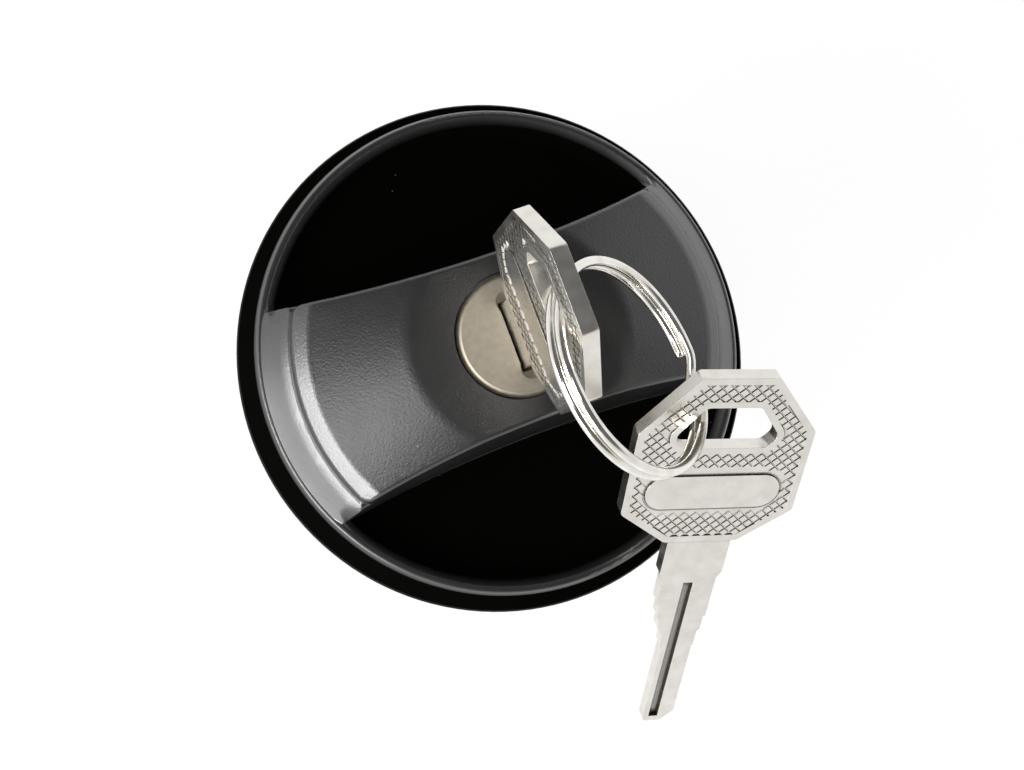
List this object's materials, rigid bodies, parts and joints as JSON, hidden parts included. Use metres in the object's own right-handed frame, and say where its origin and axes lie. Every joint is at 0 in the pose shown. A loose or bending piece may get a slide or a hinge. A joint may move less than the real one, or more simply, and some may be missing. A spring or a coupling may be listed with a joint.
{
  "type": "fuel filler cap",
  "caption": "Locking fuel filler cap: round black grip with a raised bar across two finger wells, a key in its face lock, a split ring and a spare key.",
  "frame": {"origin": "on the cap's axis, in the face of the gasket that seats on the filler neck", "axes": "+Z along the cap's axis away from the neck, +X along the grip bar"},
  "size_m": [0.08, 0.1041, 0.0834],
  "materials": {
    "grip_plastic": "fine moulded grain",
    "plug_plastic": "moulded",
    "seal_rubber": "smooth",
    "valve_plastic": "natural acetal",
    "zinc_steel": "zinc plated",
    "spring_steel": "drawn wire",
    "die_cast_zinc": "die cast",
    "satin_nickel": "satin nickel plate",
    "bright_nickel": "bright nickel plate",
    "bright_ring": "polished wire",
    "wafer_brass": "stamped"
  },
  "bodies": {
    "plug": {"plug_body": "plug_plastic", "gasket": "seal_rubber", "clutch_ring": "plug_plastic", "spring_retainer": "zinc_steel", "pressure_spring": "spring_steel"},
    "grip": {"grip_cover": "grip_plastic", "grip_skirt": "grip_plastic", "lock_housing": "die_cast_zinc", "housing_screws": "zinc_steel"},
    "bolt": {"bolt": "zinc_steel"},
    "barrel": {"lock_barrel": "satin_nickel", "wafer_1": "wafer_brass", "wafer_2": "wafer_brass", "wafer_3": "wafer_brass", "wafer_4": "wafer_brass", "wafer_5": "wafer_brass", "wafer_6": "wafer_brass", "wafer_7": "wafer_brass", "wafer_8": "wafer_brass", "lock_cam": "zinc_steel", "cam_screw": "zinc_steel"},
    "key": {"key_in_lock": "bright_nickel"},
    "ring": {"key_ring": "bright_ring"},
    "spare": {"spare_key": "bright_nickel"},
    "pressure_valve": {"pressure_disc": "valve_plastic", "valve_seal": "seal_rubber", "vacuum_spring": "spring_steel"},
    "vacuum_valve": {"vacuum_poppet": "valve_plastic", "poppet_clip": "spring_steel"}
  },
  "joints": [
    {"name": "grip_spin", "type": "hinge", "parent": "plug", "child": "grip", "pos_m": [0, 0, 0], "axis": [0, 0, 1], "continuous": true},
    {"name": "key_turn", "type": "hinge", "parent": "grip", "child": "barrel", "pos_m": [0, 0, 0], "axis": [0, 0, 1], "range_deg": [-90, 0]},
    {"name": "bolt_slide", "type": "slide", "parent": "grip", "child": "bolt", "axis": [1, 0, 0], "range_m": [0, 0.0017]},
    {"name": "key_withdraw", "type": "slide", "parent": "barrel", "child": "key", "axis": [0, 0, 1], "range_m": [0, 0.037]},
    {"name": "ring_swing", "type": "hinge", "parent": "key", "child": "ring", "pos_m": [0, 0.00053, 0.04696], "axis": [0, -0.9985, 0.0548], "range_deg": [0, 80]},
    {"name": "spare_swing", "type": "hinge", "parent": "ring", "child": "spare", "pos_m": [0.01654, -0.02033, 0.03391], "axis": [-0.57, 0.6864, 0.4515], "range_deg": [-5, 8]},
    {"name": "pressure_lift", "type": "slide", "parent": "plug", "child": "pressure_valve", "axis": [0, 0, 1], "range_m": [0, 0.0015], "stiffness_N_per_m": 400, "springref_m": -0.004, "deforming": ["pressure_spring"]},
    {"name": "vacuum_drop", "type": "slide", "parent": "pressure_valve", "child": "vacuum_valve", "axis": [0, 0, -1], "range_m": [0, 0.0012], "stiffness_N_per_m": 100, "springref_m": -0.002, "deforming": ["vacuum_spring"]}
  ],
  "couplings": [
    {"joint": "bolt_slide", "follows": "key_turn", "m_per_rad": -0.0010823}
  ]
}
